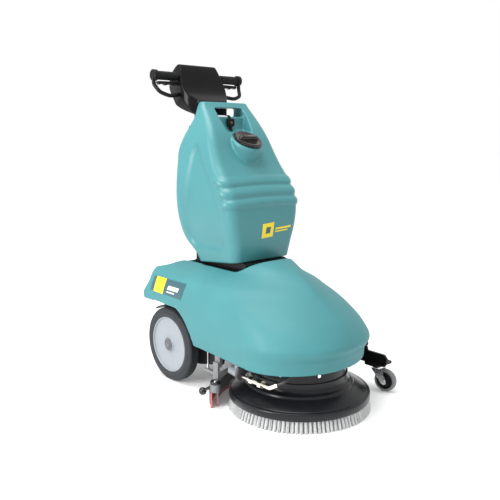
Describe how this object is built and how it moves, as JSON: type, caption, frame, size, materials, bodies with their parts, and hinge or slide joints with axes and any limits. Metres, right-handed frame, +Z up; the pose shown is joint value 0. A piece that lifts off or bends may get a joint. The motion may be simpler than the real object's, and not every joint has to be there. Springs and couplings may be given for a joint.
{
  "type": "walk-behind floor scrubber",
  "caption": "Walk-behind wet and dry floor scrubber with a disc brush, curved squeegee, moulded body, lift-off tank with handle, rear wheels, front caster and a handlebar console.",
  "frame": {"origin": "the disc brush's axis at floor level, under the bristle tips", "axes": "+Z up, -Y the way the machine drives, +X to the operator's left"},
  "size_m": [0.621, 0.855, 1.146],
  "materials": {
    "moulded_teal": "rotomoulded, faintly pebbled satin",
    "black_plastic": "satin black moulding",
    "grip_rubber": "matt",
    "black_steel": "satin powder coat",
    "bristle": "nylon tufts",
    "bright_steel": "zinc plated",
    "grey_metal": "textured grey",
    "motor_grey": "satin",
    "wheel_grey": "moulded",
    "cap_grey": "moulded",
    "tyre_grey": "matt rubber",
    "caster_black": "moulded",
    "caster_tread": "grey rubber",
    "blade_red": "polyurethane",
    "hose_black": "ribbed hose",
    "filter_white": "translucent moulding",
    "nickel_brass": "nickel plated",
    "battery_case": "moulded",
    "cap_dark": "dark smoky moulding",
    "button_green": "gloss",
    "button_blue": "gloss"
  },
  "bodies": {
    "chassis": {"chassis_frame": "black_steel", "rear_axle": "bright_steel", "handle_column": "black_steel", "lower_shell": "moulded_teal", "tank_seat": "black_plastic", "battery_left": "battery_case", "battery_right": "battery_case", "solution_tank": "filter_white", "vacuum_motor": "motor_grey", "control_box": "black_plastic", "brush_motor": "motor_grey", "gearbox": "motor_grey", "deck_drum": "black_plastic", "deck_cover": "black_plastic", "drum_screws": "bright_steel", "caster_arm": "black_steel", "caster_stud": "bright_steel", "solution_filter": "filter_white", "filter_cap": "black_plastic", "solution_valve": "nickel_brass", "solution_hose": "hose_black", "console_housing": "black_plastic", "control_panel": "black_plastic", "column_fairing": "black_plastic", "handlebar": "black_steel", "grip_left": "grip_rubber", "grip_right": "grip_rubber", "hand_guard_left": "black_plastic", "hand_guard_right": "black_plastic"},
    "brush": {"brush_bristles": "bristle", "brush_block": "black_plastic", "drive_hub": "bright_steel"},
    "rotor": {"motor_rotor": "motor_grey"},
    "fan": {"vacuum_fan": "filter_white"},
    "wheel_left": {"rear_tyre_left": "tyre_grey", "rear_hub_left": "wheel_grey", "hub_cap_left": "cap_grey"},
    "wheel_right": {"rear_tyre_right": "tyre_grey", "rear_hub_right": "wheel_grey", "hub_cap_right": "cap_grey"},
    "caster_swivel": {"caster_fork": "bright_steel", "caster_axle": "bright_steel"},
    "caster_roller": {"caster_wheel": "caster_black", "caster_tyre": "caster_tread"},
    "squeegee": {"squeegee_body": "grey_metal", "squeegee_blades": "blade_red", "squeegee_arm_left": "grey_metal", "squeegee_arm_right": "grey_metal", "squeegee_knobs": "black_plastic", "vacuum_hose": "hose_black", "lift_cable": "bright_steel"},
    "lever": {"lift_lever": "black_steel"},
    "tank": {"recovery_tank": "moulded_teal", "tank_strap": "black_plastic"},
    "cap": {"tank_cap": "cap_dark"},
    "trigger_left": {"trigger_left": "black_plastic"},
    "trigger_right": {"trigger_right": "black_plastic"},
    "key": {"key_switch": "bright_steel"},
    "brush_switch": {"brush_button": "button_green"},
    "vacuum_switch": {"vacuum_button": "button_blue"}
  },
  "joints": [
    {"name": "brush_spin", "type": "hinge", "parent": "chassis", "child": "brush", "pos_m": [0, 0, 0.03], "axis": [0, 0, 1], "continuous": true},
    {"name": "rotor_spin", "type": "hinge", "parent": "chassis", "child": "rotor", "pos_m": [0, 0, 0.29], "axis": [0, 0, 1], "continuous": true},
    {"name": "fan_spin", "type": "hinge", "parent": "chassis", "child": "fan", "pos_m": [-0.108, 0.02, 0.25], "axis": [0, 0, 1], "continuous": true},
    {"name": "wheel_left_spin", "type": "hinge", "parent": "chassis", "child": "wheel_left", "pos_m": [0.18, 0.47, 0.136], "axis": [1, 0, 0], "continuous": true},
    {"name": "wheel_right_spin", "type": "hinge", "parent": "chassis", "child": "wheel_right", "pos_m": [-0.18, 0.47, 0.136], "axis": [1, 0, 0], "continuous": true},
    {"name": "caster_turn", "type": "hinge", "parent": "chassis", "child": "caster_swivel", "pos_m": [0.305, -0.095, 0.09], "axis": [0, 0, 1], "continuous": true},
    {"name": "caster_roll", "type": "hinge", "parent": "caster_swivel", "child": "caster_roller", "pos_m": [0.31004, -0.12356, 0.04], "axis": [0.9848, 0.1736, 0], "continuous": true},
    {"name": "lever_pull", "type": "hinge", "parent": "chassis", "child": "lever", "pos_m": [-0.04, 0.505, 0.742], "axis": [1, 0, 0], "range_deg": [-60, 0]},
    {"name": "squeegee_lift", "type": "hinge", "parent": "chassis", "child": "squeegee", "pos_m": [0, 0.11, 0.201], "axis": [1, 0, 0], "range_deg": [0, 10]},
    {"name": "tank_lift", "type": "slide", "parent": "chassis", "child": "tank", "axis": [0, -0.342, 0.9397], "range_m": [0, 0.25]},
    {"name": "cap_lift", "type": "slide", "parent": "tank", "child": "cap", "axis": [0, -0.5, 0.866], "range_m": [0, 0.08]},
    {"name": "trigger_left_squeeze", "type": "hinge", "parent": "chassis", "child": "trigger_left", "pos_m": [0.107, 0.54, 1.076], "axis": [0, -1, 0], "range_deg": [0, 3], "stiffness_Nm_per_rad": 1.2, "springref_deg": -5.73},
    {"name": "trigger_right_squeeze", "type": "hinge", "parent": "chassis", "child": "trigger_right", "pos_m": [-0.107, 0.54, 1.076], "axis": [0, 1, 0], "range_deg": [0, 3], "stiffness_Nm_per_rad": 1.2, "springref_deg": -5.73},
    {"name": "key_turn", "type": "hinge", "parent": "chassis", "child": "key", "pos_m": [-0.045, 0.584, 1.118], "axis": [0, 0.7328, 0.6805], "range_deg": [0, 90]},
    {"name": "brush_button_press", "type": "slide", "parent": "chassis", "child": "brush_switch", "axis": [0, -0.7328, -0.6805], "range_m": [0, 0.003], "stiffness_N_per_m": 400, "springref_m": -0.0005},
    {"name": "vacuum_button_press", "type": "slide", "parent": "chassis", "child": "vacuum_switch", "axis": [0, -0.7328, -0.6805], "range_m": [0, 0.003], "stiffness_N_per_m": 400, "springref_m": -0.0005}
  ],
  "couplings": [
    {"joint": "rotor_spin", "follows": "brush_spin", "ratio": 8},
    {"joint": "squeegee_lift", "follows": "lever_pull", "ratio": -0.16667}
  ]
}
